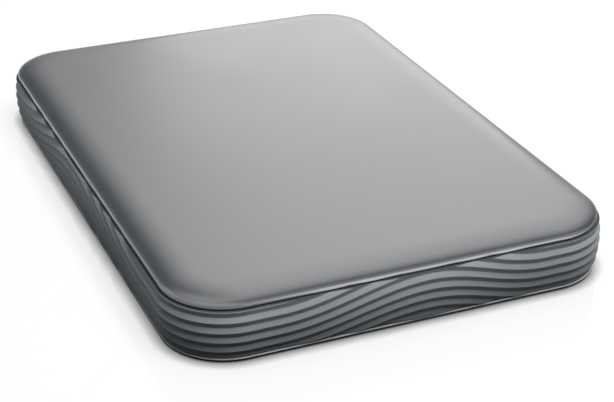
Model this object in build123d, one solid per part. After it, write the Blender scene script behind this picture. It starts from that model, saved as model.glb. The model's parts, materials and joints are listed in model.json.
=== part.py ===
from build123d import *
import math
import os

# A slim portable hard drive: a case with wave ribs round its sides, a 2.5-inch drive in four
# corner bumpers, and a small board that carries the drive's data out to the port at the back.
# Millimetres. The origin is the middle of the underside, the length runs along Y, the port
# looks along +Y, and the face the drive stands on is at Z = 0.

# Drive body: the standard 2.5-inch width. Its length and height follow from what it holds.
drive_width = 69.85
drive_corner = 2.5

# Case: walls, and the room left between them and the drive.
side_wall = 2.1
floor_wall = 1.2
cover_wall = 1.2
drive_lift = 0.9
drive_headroom = 1.5
drive_side_gap = 2.975
drive_front_gap = 3.2
drive_rear_gap = 7.25
corner_radius = 11.2
seam_gap = 0.25
seam_depth = 0.7

# Cover: an upright edge, then a soft shoulder of two arcs. The first ends where the surface has
# turned up by an angle, and the second, much flatter, runs on into the top.
cover_height = 2.2
cover_upright = 0.45
shoulder_radius = 0.9
shoulder_turn = 75.0

# Side band: how far it stands out past the cover, and how far below the seam.
band_bulge = 0.6
band_bulge_drop = 3.6
band_tuck = 0.3
foot_height = 0.75
foot_step = 0.08
foot_chamfer = 0.35

# Wave ribs: level at the corners, one long wave along every side. Where a wave starts, crests
# and ends is given as a share of the straight half of its side, in the order of travel.
rib_pitch = 1.8
rib_depth = 0.38
rib_crest_drop = 1.9
short_wave_rise = 4.1
short_wave_span = (-0.82, 0.10, 0.87)
long_wave_rise = 7.0
long_wave_span = (-0.95, -0.085, 0.80)
wave_point_spacing = 12.5

# Snap hooks that hold the cover down inside the tray wall.
hook_width = 12.0
hook_thickness = 0.9
hook_length = 3.2
hook_barb = 0.5
hook_clearance = 0.1

# Corner bumpers.
bumper_grip = 4.0
bumper_rear = 3.0

# Drive housing.
deck_wall = 1.525
deck_thickness = 0.8
deck_corner = 6.0
lid_sheet = 0.6
lid_margin = 0.2
lid_gap = 0.1

# Disc and spindle motor.
disc_bore = 10.0
disc_thickness = 0.65
disc_edge_gap = 0.9
disc_lift = 1.5
motor_floor = 0.8
motor_radius = 11.6
shaft_radius = 1.5
shaft_end_gap = 0.2
running_clearance = 0.02
hub_flange_radius = 12.0
hub_flange_thickness = 1.2
hub_motor_gap = 0.2
hub_nose_drop = 0.05
clamp_radius = 11.4
clamp_sheet = 0.5

# Head actuator. Its pivot stands beside the disc, as far to the side as the yoke leaves room.
head_reach_share = 0.944
park_outside = 2.6
inner_track_radius = 14.5
arm_thickness = 0.55
arm_disc_gap = 0.55
arm_reach_share = 0.685
arm_root_width = 10.0
arm_tip_width = 5.0
block_radius = 6.4
block_disc_gap = 1.372
pivot_radius = 1.6
pivot_rise = 0.08
spring_thickness = 0.12
spring_overlap = 4.0
spring_root_width = 4.4
spring_tip_width = 1.4
tab_length = 2.4
tab_width = 0.9
slider_length = 1.25
slider_width = 1.0
slider_thickness = 0.3
ramp_gap = 0.08
ramp_slider_gap = 0.3
ramp_before = 3.5
ramp_after = 5.5
ramp_slot_gap = 0.15
ramp_post_width = 3.6

# Voice coil motor.
yoke_inner = 7.2
yoke_outer = 18.6
yoke_half_angle = 50.0
yoke_rear_gap = 2.2
yoke_side_gap = 1.15
yoke_sheet = 0.6
coil_inner = 8.2
coil_end_gap = 1.3
coil_build = 2.1
coil_thickness = 1.0
coil_gap = 0.175
prong_angle = 4.0
prong_reach = 13.5
magnet_edge_gap = 0.9
magnet_half_angle = 39.0
magnet_thickness = 0.5
yoke_post_inset = 1.4
yoke_post_width = 1.6
stop_reach = 11.0
stop_angle = 45.5
stop_width = 1.3
stop_clear_angle = 4.5

# Deck fittings.
flex_bracket_size = (9.0, 7.0, 0.6)
flex_bracket_across = -6.0
flex_bracket_gap = 4.0
flex_plug_size = (5.0, 2.4, 1.6)
air_filter_size = (5.0, 9.0, 2.6)
air_filter_inset = 3.2

# Drive board on the underside, with the data plug at the back.
board_side = 6.925
board_thickness = 0.7
board_recess = 0.1
board_edge_gap = 0.3
board_motor_gap = 2.7
board_ledge = 1.2
chip_room = 1.1
chip_height = 0.8
controller_size = (11.0, 11.0)
memory_size = (8.0, 10.0)
motor_driver_size = (6.0, 6.0)
plug_offset_share = -0.057
plug_width = 42.0
plug_bay_gap = 1.0
plug_bay_depth = 7.0
plug_bay_height = 3.8
plug_bay_wall = 1.6
plug_body_depth = 2.0
plug_body_height = 2.7
tongue_length = 4.2
tongue_thickness = 1.1
tongue_drop = 1.2
tongue_key = 0.8
data_tongue_span = (-0.386, -0.138)
power_tongue_span = (-0.071, 0.419)
contact_width = 0.6
contact_thickness = 0.1
data_contacts = 7
power_contacts = 15

# Bridge board behind the drive.
bridge_bumper_gap = 3.4
bridge_thickness = 0.8
bridge_lift = 1.0
bridge_gap = 0.4
bridge_pad_size = (3.0, 3.0)
bridge_pad_inset = 2.2
bridge_chip_size = (5.0, 5.0)
bridge_memory_size = (4.0, 5.0)
bridge_crystal_size = (3.2, 2.0)
bridge_chip_spread = 9.0
socket_inset = 0.5
socket_height = 2.7
socket_back = 2.6
socket_mating_gap = 0.3
socket_clearance = 0.15

# Port: a wide two-part data socket, with a light beside it.
port_center = 0.0
port_main_width = 7.5
port_side_width = 4.3
port_height = 2.45
port_depth = 5.0
port_sheet = 0.3
port_corner = 0.6
port_recess = 0.3
port_window_gap = 0.5
port_insert_back = 1.2
port_tongue_thickness = 0.6
port_tongue_short = 0.9
port_tongue_side_gap = 0.85
port_contact_count = 5
port_contact_width = 0.28
port_contact_thickness = 0.08
light_pipe_center = 11.0
light_pipe_size = (1.8, 1.2)
light_pipe_board_gap = 0.1
light_size = (1.6, 0.8, 0.6)
light_gap = 0.15

# Levels, from the table up to the top of the case.
drive_bottom = floor_wall + drive_lift
board_bottom = drive_bottom + board_recess
board_top = board_bottom + board_thickness
pocket_top = board_top + chip_room
deck_floor = pocket_top + deck_thickness
disc_bottom = deck_floor + disc_lift
disc_top = disc_bottom + disc_thickness
hub_bottom = disc_bottom - hub_flange_thickness
hub_top = disc_top - hub_nose_drop
lower_arm_top = disc_bottom - arm_disc_gap
lower_arm_bottom = lower_arm_top - arm_thickness
upper_arm_bottom = disc_top + arm_disc_gap
upper_arm_top = upper_arm_bottom + arm_thickness
coil_bottom = (lower_arm_bottom + upper_arm_top - coil_thickness) / 2
coil_top = coil_bottom + coil_thickness
lower_magnet_top = coil_bottom - coil_gap
lower_magnet_bottom = lower_magnet_top - magnet_thickness
upper_magnet_bottom = coil_top + coil_gap
upper_magnet_top = upper_magnet_bottom + magnet_thickness
lid_bottom = upper_magnet_top + yoke_sheet + lid_gap
drive_top = lid_bottom + lid_sheet
cover_under = drive_top + drive_headroom
case_height = cover_under + cover_wall
seam_height = case_height - cover_height
rim_height = seam_height + seam_gap
bridge_bottom = floor_wall + bridge_lift
bridge_top = bridge_bottom + bridge_thickness

# Distances inside the drive, from its front to its back.
deck_half_width = drive_width / 2 - deck_wall
disc_radius = deck_half_width - disc_edge_gap
pivot_to_spindle = disc_radius + block_disc_gap + block_radius
pivot_across = deck_half_width - yoke_side_gap - yoke_outer * math.sin(math.radians(yoke_half_angle))
pivot_along = math.sqrt(pivot_to_spindle**2 - pivot_across**2)
deck_length = deck_half_width + pivot_along + yoke_outer + yoke_rear_gap
drive_length = deck_wall + deck_length + plug_bay_wall + plug_bay_depth

# Overall sizes: the case is built round the drive.
case_width = drive_width + 2 * (drive_side_gap + side_wall)
case_length = drive_length + drive_front_gap + drive_rear_gap + 2 * side_wall

# Places along the case, from the front to the back.
cavity_half_width = case_width / 2 - side_wall
cavity_end = case_length / 2 - side_wall
drive_front = -cavity_end + drive_front_gap
drive_rear = drive_front + drive_length
drive_middle = (drive_front + drive_rear) / 2
plug_bay_front = drive_rear - plug_bay_depth
plug_center = plug_offset_share * drive_width
deck_rear = plug_bay_front - plug_bay_wall
spindle = (0.0, drive_front + deck_wall + deck_half_width)
pivot = (spindle[0] + pivot_across, spindle[1] + pivot_along)
board_half_width = drive_width / 2 - board_side
board_front = spindle[1] + motor_radius + board_motor_gap
board_rear = plug_bay_front + plug_body_depth
bridge_front = drive_rear + bridge_gap
bridge_rear = cavity_end - bridge_gap
bridge_half_width = drive_width / 2 - bumper_grip - bridge_bumper_gap

# The heads swing from the ramp beside the disc to the innermost track.
spindle_direction = math.degrees(math.atan2(-pivot_along, -pivot_across)) % 360
head_reach = head_reach_share * pivot_to_spindle
arm_reach = arm_reach_share * head_reach


def swing_angle(track_radius):
    """Angle at the pivot between the spindle and a head that stands over this radius."""
    sides = pivot_to_spindle**2 + head_reach**2 - track_radius**2
    return math.degrees(math.acos(sides / (2 * pivot_to_spindle * head_reach)))


park_direction = spindle_direction - swing_angle(disc_radius + park_outside)
inner_direction = spindle_direction - swing_angle(inner_track_radius)
head_swing = inner_direction - park_direction
rear_direction = 90
coil_direction = rear_direction - head_swing / 2
coil_half_angle = stop_angle - stop_clear_angle - prong_angle - head_swing / 2
coil_outer = yoke_outer - coil_end_gap


def slab(x_low, x_high, y_low, y_high, z_low, z_high):
    """A plain block between six planes."""
    size = (x_high - x_low, y_high - y_low, z_high - z_low)
    return Pos(x_low, y_low, z_low) * Box(*size, align=(Align.MIN, Align.MIN, Align.MIN))


def block_at(center, size, z_low):
    """A plain block of a size, standing at a level over a point."""
    foot = (Align.CENTER, Align.CENTER, Align.MIN)
    return Pos(center[0], center[1], z_low) * Box(*size, align=foot)


def post(center, radius, z_low, z_high):
    """An upright round bar."""
    foot = (Align.CENTER, Align.CENTER, Align.MIN)
    return Pos(center[0], center[1], z_low) * Cylinder(radius, z_high - z_low, align=foot)


def tube(center, inner, outer, z_low, z_high):
    """An upright pipe."""
    return post(center, outer, z_low, z_high) - post(center, inner, z_low, z_high)


def plate(sketch, z_low, z_high):
    """A flat outline raised between two levels."""
    return Pos(0, 0, z_low) * extrude(sketch, z_high - z_low)


def polar(center, reach, direction):
    """The point at a distance from a centre, in a direction in degrees."""
    turn = math.radians(direction)
    return (center[0] + reach * math.cos(turn), center[1] + reach * math.sin(turn))


def sector(inner, outer, middle, half_angle):
    """A piece of a ring round the actuator pivot."""
    start = middle - half_angle
    end = middle + half_angle
    edges = [
        CenterArc(pivot, outer, start, 2 * half_angle),
        Line(polar(pivot, outer, end), polar(pivot, inner, end)),
        CenterArc(pivot, inner, start, 2 * half_angle),
        Line(polar(pivot, inner, start), polar(pivot, outer, start)),
    ]
    return make_face(edges)


def together(shapes):
    """Several shapes as one piece."""
    return Part() + shapes


def case_outline(inset):
    """The outline of the case from above, drawn in by a distance."""
    return RectangleRounded(case_width - 2 * inset, case_length - 2 * inset, corner_radius - inset)


def case_sides():
    """Front, right, back and left sides: outward and travel directions, distance, straight half."""
    sides = []
    for outward in (Vector(0, -1), Vector(1, 0), Vector(0, 1), Vector(-1, 0)):
        travel = Vector(-outward.Y, outward.X)
        across = case_length / 2 if outward.X == 0 else case_width / 2
        along = case_width / 2 if outward.X == 0 else case_length / 2
        sides.append((outward, travel, across, along - corner_radius))
    return sides


def band_offset(z):
    """How far the side band stands out past the cover outline at a height."""
    bulge_height = seam_height - band_bulge_drop
    drop = (z - bulge_height) / bulge_height
    return band_bulge - (band_bulge + band_tuck) * drop**2


def wave_lift(along, half_run, rise, span):
    """How far a rib has climbed at a place along its side."""
    start, crest, end = (share * half_run for share in span)
    flank = end - crest if along > crest else crest - start
    share = min(1.0, abs(along - crest) / flank)
    return rise * (1 + math.cos(math.pi * share)) / 2


def rib_line(level, lean):
    """One closed line round the case: a rib crest, or the valley between two ribs."""
    edges = []
    for outward, travel, across, half_run in case_sides():
        is_short = outward.X == 0
        rise = short_wave_rise if is_short else long_wave_rise
        span = short_wave_span if is_short else long_wave_span
        steps = round(2 * half_run / wave_point_spacing)
        points = []
        for step in range(steps + 1):
            along = half_run * (2 * step / steps - 1)
            z = level + wave_lift(along, half_run, rise, span)
            points.append(outward * (across + band_offset(z) + lean) + travel * along + Vector(0, 0, z))
        edges.append(Edge.make_spline(points, tangents=[travel, travel]))
        center = outward * (across - corner_radius) + travel * half_run + Vector(0, 0, level)
        bend = corner_radius + band_offset(level) + lean
        halfway = (outward + travel).normalized()
        arc_points = (center + outward * bend, center + halfway * bend, center + travel * bend)
        edges.append(Edge.make_three_point_arc(*arc_points))
    return Wire(edges)


def flat_line(inset, z):
    """The level outline that closes the stack of rib lines at its top and bottom."""
    edges = []
    for outward, travel, across, half_run in case_sides():
        start = outward * (across - inset) - travel * half_run + Vector(0, 0, z)
        end = outward * (across - inset) + travel * half_run + Vector(0, 0, z)
        edges.append(Edge.make_line(start, end))
        center = outward * (across - corner_radius) + travel * half_run + Vector(0, 0, z)
        bend = corner_radius - inset
        halfway = (outward + travel).normalized()
        edges.append(Edge.make_three_point_arc(end, center + halfway * bend, center + travel * bend))
    return Wire(edges)


def ribbed_band():
    """The side band: flat facets strung between crest and valley lines, cut off level."""
    half_pitch = rib_pitch / 2
    crest_height = seam_height - rib_crest_drop
    lowest = math.floor((foot_height - long_wave_rise - crest_height) / half_pitch) - 1
    highest = math.ceil(rib_crest_drop / half_pitch) + 1
    lines = []
    for index in range(lowest, highest + 1):
        lean = rib_depth / 2 if index % 2 == 0 else -rib_depth / 2
        lines.append(rib_line(crest_height + index * half_pitch, lean))
    bottom = crest_height + (lowest - 1) * half_pitch
    top = crest_height + (highest + 1) * half_pitch + long_wave_rise
    stack = [flat_line(side_wall, bottom)] + lines + [flat_line(side_wall, top)]
    reach = case_width + case_length
    slice_between = slab(-reach, reach, -reach, reach, foot_height, seam_height)
    return Solid.make_loft(stack, ruled=True) & slice_between


def hook_places():
    """Where the snap hooks stand: one in the middle of every side."""
    places = []
    for outward, travel, across, _ in case_sides():
        places.append(Plane(origin=outward * (across - side_wall), x_dir=outward, z_dir=travel * -1))
    return places


def hook_profiles():
    """Side views of one hook and of the pocket its barb sits in, measured out from the wall."""
    low = cover_under - hook_length
    catch = low + 2 * hook_barb
    inner = -hook_clearance - hook_thickness
    barb = hook_barb - hook_clearance
    hook = Polyline(
        (inner, cover_under),
        (-hook_clearance, cover_under),
        (-hook_clearance, catch),
        (barb, catch),
        (barb, low + hook_barb),
        (-hook_clearance, low),
        (inner, low),
        close=True,
    )
    pocket = Polyline(
        (-hook_clearance, low),
        (hook_barb, low),
        (hook_barb, catch + hook_clearance),
        (-hook_clearance, catch + hook_clearance),
        close=True,
    )
    return make_face(hook), make_face(pocket)


def cover_section():
    """Cut through the edge of the cover, measured in from the outline and up from the table."""
    upright_top = rim_height + cover_upright
    across = math.cos(math.radians(shoulder_turn))
    rise = math.sin(math.radians(shoulder_turn))
    crown_radius = (case_height - upright_top - shoulder_radius * rise) / (1 - rise)
    crown_middle = shoulder_radius + (crown_radius - shoulder_radius) * across
    rest = Polyline(
        (crown_middle, case_height),
        (crown_middle, rim_height),
        (0, rim_height),
        (0, upright_top),
    )
    edges = [
        CenterArc((shoulder_radius, upright_top), shoulder_radius, 180, -shoulder_turn),
        CenterArc((crown_middle, case_height - crown_radius), crown_radius, 90, 90 - shoulder_turn),
        rest,
    ]
    return make_face(edges)


def make_top_cover():
    """The flat cover with its soft shoulder, hollow below, with hooks round the inside."""
    section = cover_section()
    cover = plate(case_outline(section.bounding_box().max.X), rim_height, case_height)
    for outward, travel, across, half_run in case_sides():
        start = Plane(origin=outward * across - travel * half_run, x_dir=outward * -1, z_dir=travel)
        end = Plane(origin=outward * across + travel * half_run, x_dir=outward * -1, z_dir=travel)
        turn = Axis(outward * (across - corner_radius) + travel * half_run, (0, 0, 1))
        cover += extrude(start * section, 2 * half_run)
        cover += revolve(end * section, turn, 90)
    cover -= plate(case_outline(side_wall), rim_height, cover_under)
    hook, _ = hook_profiles()
    for place in hook_places():
        cover += extrude(place * hook, hook_width / 2, both=True)
    return cover


def port_outline(grow):
    """Outline of the port seen from behind: a wide part and a narrower part side by side."""
    width = port_main_width + port_side_width + 2 * grow
    return RectangleRounded(width, port_height + 2 * grow, port_corner + grow)


def port_bar(outline, y_low, y_high):
    """An outline drawn on the port's own axes, run between two places along the case."""
    middle = (port_center, y_low, bridge_top + port_height / 2)
    return extrude(Plane(origin=middle, x_dir=(-1, 0, 0), z_dir=(0, 1, 0)) * outline, y_high - y_low)


def bridge_pad_places():
    """The two pads that the bridge board rests on."""
    x = bridge_half_width - bridge_pad_inset
    y = bridge_rear - bridge_pad_inset
    return [(-x, y), (x, y)]


def light_pipe_bar(y_low, y_high):
    """The bar that the light pipe fills."""
    width, height = light_pipe_size
    x = light_pipe_center - width / 2
    z = bridge_top + light_pipe_board_gap
    return slab(x, x + width, y_low, y_high, z, z + height)


def make_base_tray():
    """The ribbed tray: floor, side band, the rim the cover rests on, and the holes at the back."""
    tray = ribbed_band()
    foot_inset = -band_offset(foot_height) - foot_step
    foot = plate(case_outline(foot_inset), 0, foot_height)
    foot = chamfer(foot.edges().group_by(Axis.Z)[0], foot_chamfer)
    tray = tray + foot + plate(case_outline(seam_depth), seam_height, rim_height)
    tray -= plate(case_outline(side_wall), floor_wall, rim_height)
    _, pocket = hook_profiles()
    for place in hook_places():
        tray -= extrude(place * pocket, hook_width / 2 + hook_clearance, both=True)
    beyond = case_length / 2 + 2 * band_bulge
    tray -= port_bar(port_outline(port_window_gap), cavity_end, beyond)
    tray -= light_pipe_bar(cavity_end, beyond)
    for place in bridge_pad_places():
        tray += block_at(place, (*bridge_pad_size, bridge_lift), floor_wall)
    return tray


def drive_body(margin, z_low, z_high):
    """A slice of the drive's outline, drawn in by a margin."""
    outline = RectangleRounded(drive_width - 2 * margin, drive_length - 2 * margin, drive_corner)
    return plate(Pos(0, drive_middle) * outline, z_low, z_high)


def make_bumper(side, end):
    """A soft corner block that grips one corner of the drive between floor, wall and cover."""
    x_inner = drive_width / 2 - bumper_grip
    y_inner = drive_rear - bumper_grip if end > 0 else -drive_front - bumper_grip
    y_outer = drive_rear + bumper_rear if end > 0 else cavity_end
    x_low, x_high = sorted((side * x_inner, side * cavity_half_width))
    y_low, y_high = sorted((end * y_inner, end * y_outer))
    corner = slab(x_low, x_high, y_low, y_high, floor_wall, cover_under)
    room = plate(case_outline(side_wall), floor_wall, cover_under)
    return (corner & room) - drive_body(0, drive_bottom, drive_top)


def deck_outline():
    """The room inside the drive: round at the disc, square at the actuator."""
    x0, y0 = spindle
    x_bend = deck_half_width - deck_corner
    y_bend = deck_rear - deck_corner
    edges = [
        Line((x0 + deck_half_width, y0), (x0 + deck_half_width, y_bend)),
        CenterArc((x0 + x_bend, y_bend), deck_corner, 0, 90),
        Line((x0 + x_bend, deck_rear), (x0 - x_bend, deck_rear)),
        CenterArc((x0 - x_bend, y_bend), deck_corner, 90, 90),
        Line((x0 - deck_half_width, y_bend), (x0 - deck_half_width, y0)),
        CenterArc(spindle, deck_half_width, 180, 180),
    ]
    return make_face(edges)


def plug_bay():
    """The recess at the back of the drive that the plug sits in."""
    half = plug_width / 2 + plug_bay_gap
    top = drive_bottom + plug_bay_height
    return slab(plug_center - half, plug_center + half, plug_bay_front, drive_rear, drive_bottom, top)


def make_drive_base():
    """The cast housing of the drive, with its deck, motor pocket, board pocket and plug bay."""
    housing = drive_body(0, drive_bottom, lid_bottom)
    housing -= plate(deck_outline(), deck_floor, lid_bottom)
    housing -= post(spindle, motor_radius, drive_bottom + motor_floor, deck_floor)
    half = board_half_width + board_edge_gap
    y_front = board_front - board_edge_gap
    y_rear = board_rear + board_edge_gap
    housing -= slab(-half, half, y_front, y_rear, drive_bottom, board_top)
    chip_half = board_half_width - board_ledge
    y_front = board_front + board_ledge
    housing -= slab(-chip_half, chip_half, y_front, plug_bay_front, board_top, pocket_top)
    return housing - plug_bay()


def make_drive_lid():
    """The pressed lid of the drive."""
    return drive_body(lid_margin, lid_bottom, drive_top)


def make_spindle_motor():
    """The closed motor, fixed in its pocket, with the bearing for the shaft through its middle."""
    bore = shaft_radius + running_clearance
    return tube(spindle, bore, motor_radius, drive_bottom + motor_floor, hub_bottom - hub_motor_gap)


def make_spindle_hub():
    """The turning hub: a flange the disc rests on, a nose through its bore and the shaft below."""
    hub = post(spindle, hub_flange_radius, hub_bottom, disc_bottom)
    hub += post(spindle, disc_bore, disc_bottom, hub_top)
    return hub + post(spindle, shaft_radius, drive_bottom + motor_floor + shaft_end_gap, hub_bottom)


def make_platter():
    """The disc."""
    return tube(spindle, disc_bore, disc_radius, disc_bottom, disc_top)


def make_disc_clamp():
    """The cap that holds the disc down."""
    return post(spindle, clamp_radius, disc_top, disc_top + clamp_sheet)


def along_arm(near, far, near_width, far_width):
    """A tapered strip that points from the pivot to the parked heads."""
    corners = [(near, -near_width / 2), (far, -far_width / 2), (far, far_width / 2), (near, near_width / 2)]
    return Pos(*pivot) * Rot(0, 0, park_direction) * make_face(Polyline(*corners, close=True))


def make_arm_block():
    """The swinging block: a hub round the pivot, two arms and the fork that holds the coil."""
    arm = along_arm(pivot_radius, arm_reach, arm_root_width, arm_tip_width)
    block = post(pivot, block_radius, lower_arm_bottom, upper_arm_top)
    block += plate(arm, lower_arm_bottom, lower_arm_top)
    block += plate(arm, upper_arm_bottom, upper_arm_top)
    for turn in (-1, 1):
        middle = coil_direction + turn * (coil_half_angle + prong_angle / 2)
        prong = sector(pivot_radius, prong_reach, middle, prong_angle / 2)
        block += plate(prong, coil_bottom, coil_top)
    back = sector(pivot_radius, coil_inner, coil_direction, coil_half_angle)
    block += plate(back, coil_bottom, coil_top)
    return block - post(pivot, pivot_radius + running_clearance, lower_arm_bottom, upper_arm_top)


def make_voice_coil():
    """The flat coil in the fork."""
    coil = sector(coil_inner, coil_outer, coil_direction, coil_half_angle)
    side_angle = math.degrees(coil_build / ((coil_inner + coil_outer) / 2))
    window_half = coil_half_angle - side_angle
    window = sector(coil_inner + coil_build, coil_outer - coil_build, coil_direction, window_half)
    return plate(coil - window, coil_bottom, coil_top)


def make_pivot_post():
    """The fixed post the actuator turns on."""
    return post(pivot, pivot_radius, deck_floor, upper_arm_top + pivot_rise)


def make_head_springs():
    """Two thin springs that reach out from the arms and end in a lift tab."""
    strip = along_arm(arm_reach - spring_overlap, head_reach, spring_root_width, spring_tip_width)
    strip += along_arm(head_reach - slider_length, head_reach + tab_length, tab_width, tab_width)
    below = plate(strip, lower_arm_top, lower_arm_top + spring_thickness)
    above = plate(strip, upper_arm_bottom - spring_thickness, upper_arm_bottom)
    return together([below, above])


def make_head_sliders():
    """The two heads, one on each face of the disc."""
    half = slider_length / 2
    foot = along_arm(head_reach - half, head_reach + half, slider_width, slider_width)
    below = lower_arm_top + spring_thickness
    above = upper_arm_bottom - spring_thickness
    under_disc = plate(foot, below, below + slider_thickness)
    over_disc = plate(foot, above - slider_thickness, above)
    return together([under_disc, over_disc])


def make_load_ramp():
    """The ramp the lift tabs rest on when the heads are parked, slotted for the disc edge."""
    bottom = lower_arm_top + spring_thickness + ramp_gap
    top = upper_arm_bottom - spring_thickness - ramp_gap
    inner = head_reach + slider_length / 2 + ramp_slider_gap
    outer = head_reach + tab_length + ramp_gap
    before = math.degrees(ramp_before / outer)
    after = math.degrees(ramp_after / outer)
    middle = park_direction + (after - before) / 2
    half = (after + before) / 2
    ramp = plate(sector(inner, outer + ramp_post_width, middle, half), bottom, top)
    ramp += plate(sector(outer, outer + ramp_post_width, middle, half), deck_floor, top)
    slot_bottom = disc_bottom - ramp_slot_gap
    slot_top = disc_top + ramp_slot_gap
    return ramp - post(spindle, disc_radius + disc_edge_gap, slot_bottom, slot_top)


def yoke_outline():
    """The steel plate that backs a magnet."""
    return sector(yoke_inner, yoke_outer, rear_direction, yoke_half_angle)


def yoke_posts(reach, width):
    """A pair of square posts between the two yoke plates, one at each end of the swing."""
    size = (width, width, upper_magnet_top - lower_magnet_bottom)
    places = [polar(pivot, reach, rear_direction + turn * stop_angle) for turn in (-1, 1)]
    return [block_at(place, size, lower_magnet_bottom) for place in places]


def make_lower_yoke():
    """The lower yoke plate, flat on the deck."""
    return plate(yoke_outline(), deck_floor, lower_magnet_bottom)


def make_upper_yoke():
    """The upper yoke plate on its two posts."""
    yoke = plate(yoke_outline(), upper_magnet_top, upper_magnet_top + yoke_sheet)
    return together([yoke] + yoke_posts(yoke_outer - yoke_post_inset, yoke_post_width))


def make_magnet(z_low, z_high):
    """One of the two magnets that drive the coil."""
    inner = yoke_inner + magnet_edge_gap
    outer = yoke_outer - magnet_edge_gap
    return plate(sector(inner, outer, rear_direction, magnet_half_angle), z_low, z_high)


def make_crash_stops():
    """Rubber posts at the two ends of the swing."""
    return together(yoke_posts(stop_reach, stop_width))


def make_flex_bracket():
    """The plate and plug where the head wiring meets the deck."""
    y = deck_rear - flex_bracket_gap - flex_bracket_size[1] / 2
    place = (spindle[0] + flex_bracket_across, y)
    bracket = block_at(place, flex_bracket_size, deck_floor)
    return bracket + block_at(place, flex_plug_size, deck_floor + flex_bracket_size[2])


def make_air_filter():
    """The filter pad in the corner of the deck."""
    x = spindle[0] - deck_half_width + air_filter_inset + air_filter_size[0] / 2
    y = deck_rear - air_filter_inset - air_filter_size[1] / 2
    return block_at((x, y), air_filter_size, deck_floor)


def make_drive_board():
    """The controller board under the drive."""
    return slab(-board_half_width, board_half_width, board_front, board_rear, board_bottom, board_top)


def chip(place, size, z_low):
    """A flat chip over a point."""
    return block_at(place, (size[0], size[1], chip_height), z_low)


def make_drive_board_chips():
    """Controller, memory and motor driver, on the hidden face of the board."""
    middle = (board_front + plug_bay_front) / 2
    chips = [
        chip((-board_half_width / 3, middle), controller_size, board_top),
        chip((board_half_width / 4, middle + memory_size[1] / 2), memory_size, board_top),
        chip((board_half_width / 4, middle - memory_size[1]), motor_driver_size, board_top),
    ]
    return together(chips)


def tongue_spans():
    """The data tongue and the power tongue: their ends across the drive and their contacts."""
    spans = []
    for (left, right), count in ((data_tongue_span, data_contacts), (power_tongue_span, power_contacts)):
        spans.append((plug_center + left * plug_width, plug_center + right * plug_width, count))
    return spans


def tongue_levels():
    """Bottom and top of the plug tongues."""
    bottom = board_top + tongue_drop
    return bottom, bottom + tongue_thickness


def make_tongues(gap):
    """Both tongues with the key at one end of each, grown by a gap."""
    bottom, top = tongue_levels()
    start = plug_bay_front + plug_body_depth
    tongues = []
    for left, right, _ in tongue_spans():
        y_end = start + tongue_length + gap
        tongues.append(slab(left - gap, right + gap, start, y_end, bottom - gap, top + gap))
        key_left = right - tongue_thickness - gap
        tongues.append(slab(key_left, right + gap, start, y_end, bottom - tongue_key - gap, top + gap))
    return together(tongues)


def make_drive_plug():
    """The drive's own plug: a block on the board with two keyed tongues."""
    left = plug_center - plug_width / 2
    y_end = plug_bay_front + plug_body_depth
    top = board_top + plug_body_height
    body = slab(left, left + plug_width, plug_bay_front, y_end, board_top, top)
    return body + make_tongues(0)


def make_plug_contacts():
    """Gold strips spaced along the lower faces of the tongues."""
    start = plug_bay_front + plug_body_depth
    length = tongue_length - contact_width
    bottom = tongue_levels()[0] - contact_thickness
    strips = []
    for left, right, count in tongue_spans():
        pitch = (right - left - tongue_thickness) / count
        for index in range(count):
            place = (left + (index + 0.5) * pitch, start + length / 2)
            strips.append(block_at(place, (contact_width, length, contact_thickness), bottom))
    return together(strips)


def make_drive_socket():
    """The socket on the bridge board that takes the drive's plug."""
    front = board_rear + socket_mating_gap
    back = drive_rear + socket_back
    half = plug_width / 2 - socket_inset
    left = plug_center - half
    right = plug_center + half
    body = slab(left, right, front, back, bridge_top, bridge_top + socket_height)
    return body - make_tongues(socket_clearance)


def make_bridge_board():
    """The small board behind the drive."""
    half = bridge_half_width
    return slab(-half, half, bridge_front, bridge_rear, bridge_bottom, bridge_top)


def make_bridge_chips():
    """The bridge chip and its memory under the board, with the crystal on top."""
    middle = (bridge_front + bridge_rear) / 2
    under = bridge_bottom - chip_height
    crystal_y = bridge_rear - bridge_crystal_size[1]
    chips = [
        chip((plug_center - bridge_chip_spread, middle), bridge_chip_size, under),
        chip((plug_center + bridge_chip_spread, middle), bridge_memory_size, under),
        chip((plug_center - bridge_chip_spread, crystal_y), bridge_crystal_size, bridge_top),
    ]
    return together(chips)


def port_front():
    """Where the port's mouth ends, just inside the outer face of the band."""
    return case_length / 2 - port_recess


def port_rooms():
    """The two openings of the port, as outlines on its own axes."""
    height = port_height - 2 * port_sheet
    half = (port_main_width + port_side_width) / 2
    divide = half - port_main_width
    main = (divide + port_sheet / 2, half - port_sheet)
    side = (-half + port_sheet, divide - port_sheet / 2)
    rooms = []
    for low, high in (main, side):
        rooms.append(Pos((low + high) / 2, 0) * Rectangle(high - low, height))
    return rooms


def make_port_shell():
    """The folded metal shell of the port, with its dividing web."""
    front = port_front()
    shell = port_bar(port_outline(0), front - port_depth, front)
    for room in port_rooms():
        shell -= port_bar(room, front - port_depth, front)
    return shell


def port_tongues():
    """The contact tongue in each opening, as outlines on the port's own axes."""
    tongues = []
    for room in port_rooms():
        box = room.bounding_box()
        width = box.size.X - 2 * port_tongue_side_gap
        tongues.append(Pos(box.center().X, 0) * Rectangle(width, port_tongue_thickness))
    return tongues


def make_port_insert():
    """The moulded block at the back of the port and its two tongues."""
    front = port_front()
    back = front - port_depth
    pieces = [port_bar(room, back, back + port_insert_back) for room in port_rooms()]
    pieces += [port_bar(tongue, back, front - port_tongue_short) for tongue in port_tongues()]
    return together(pieces)


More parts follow.
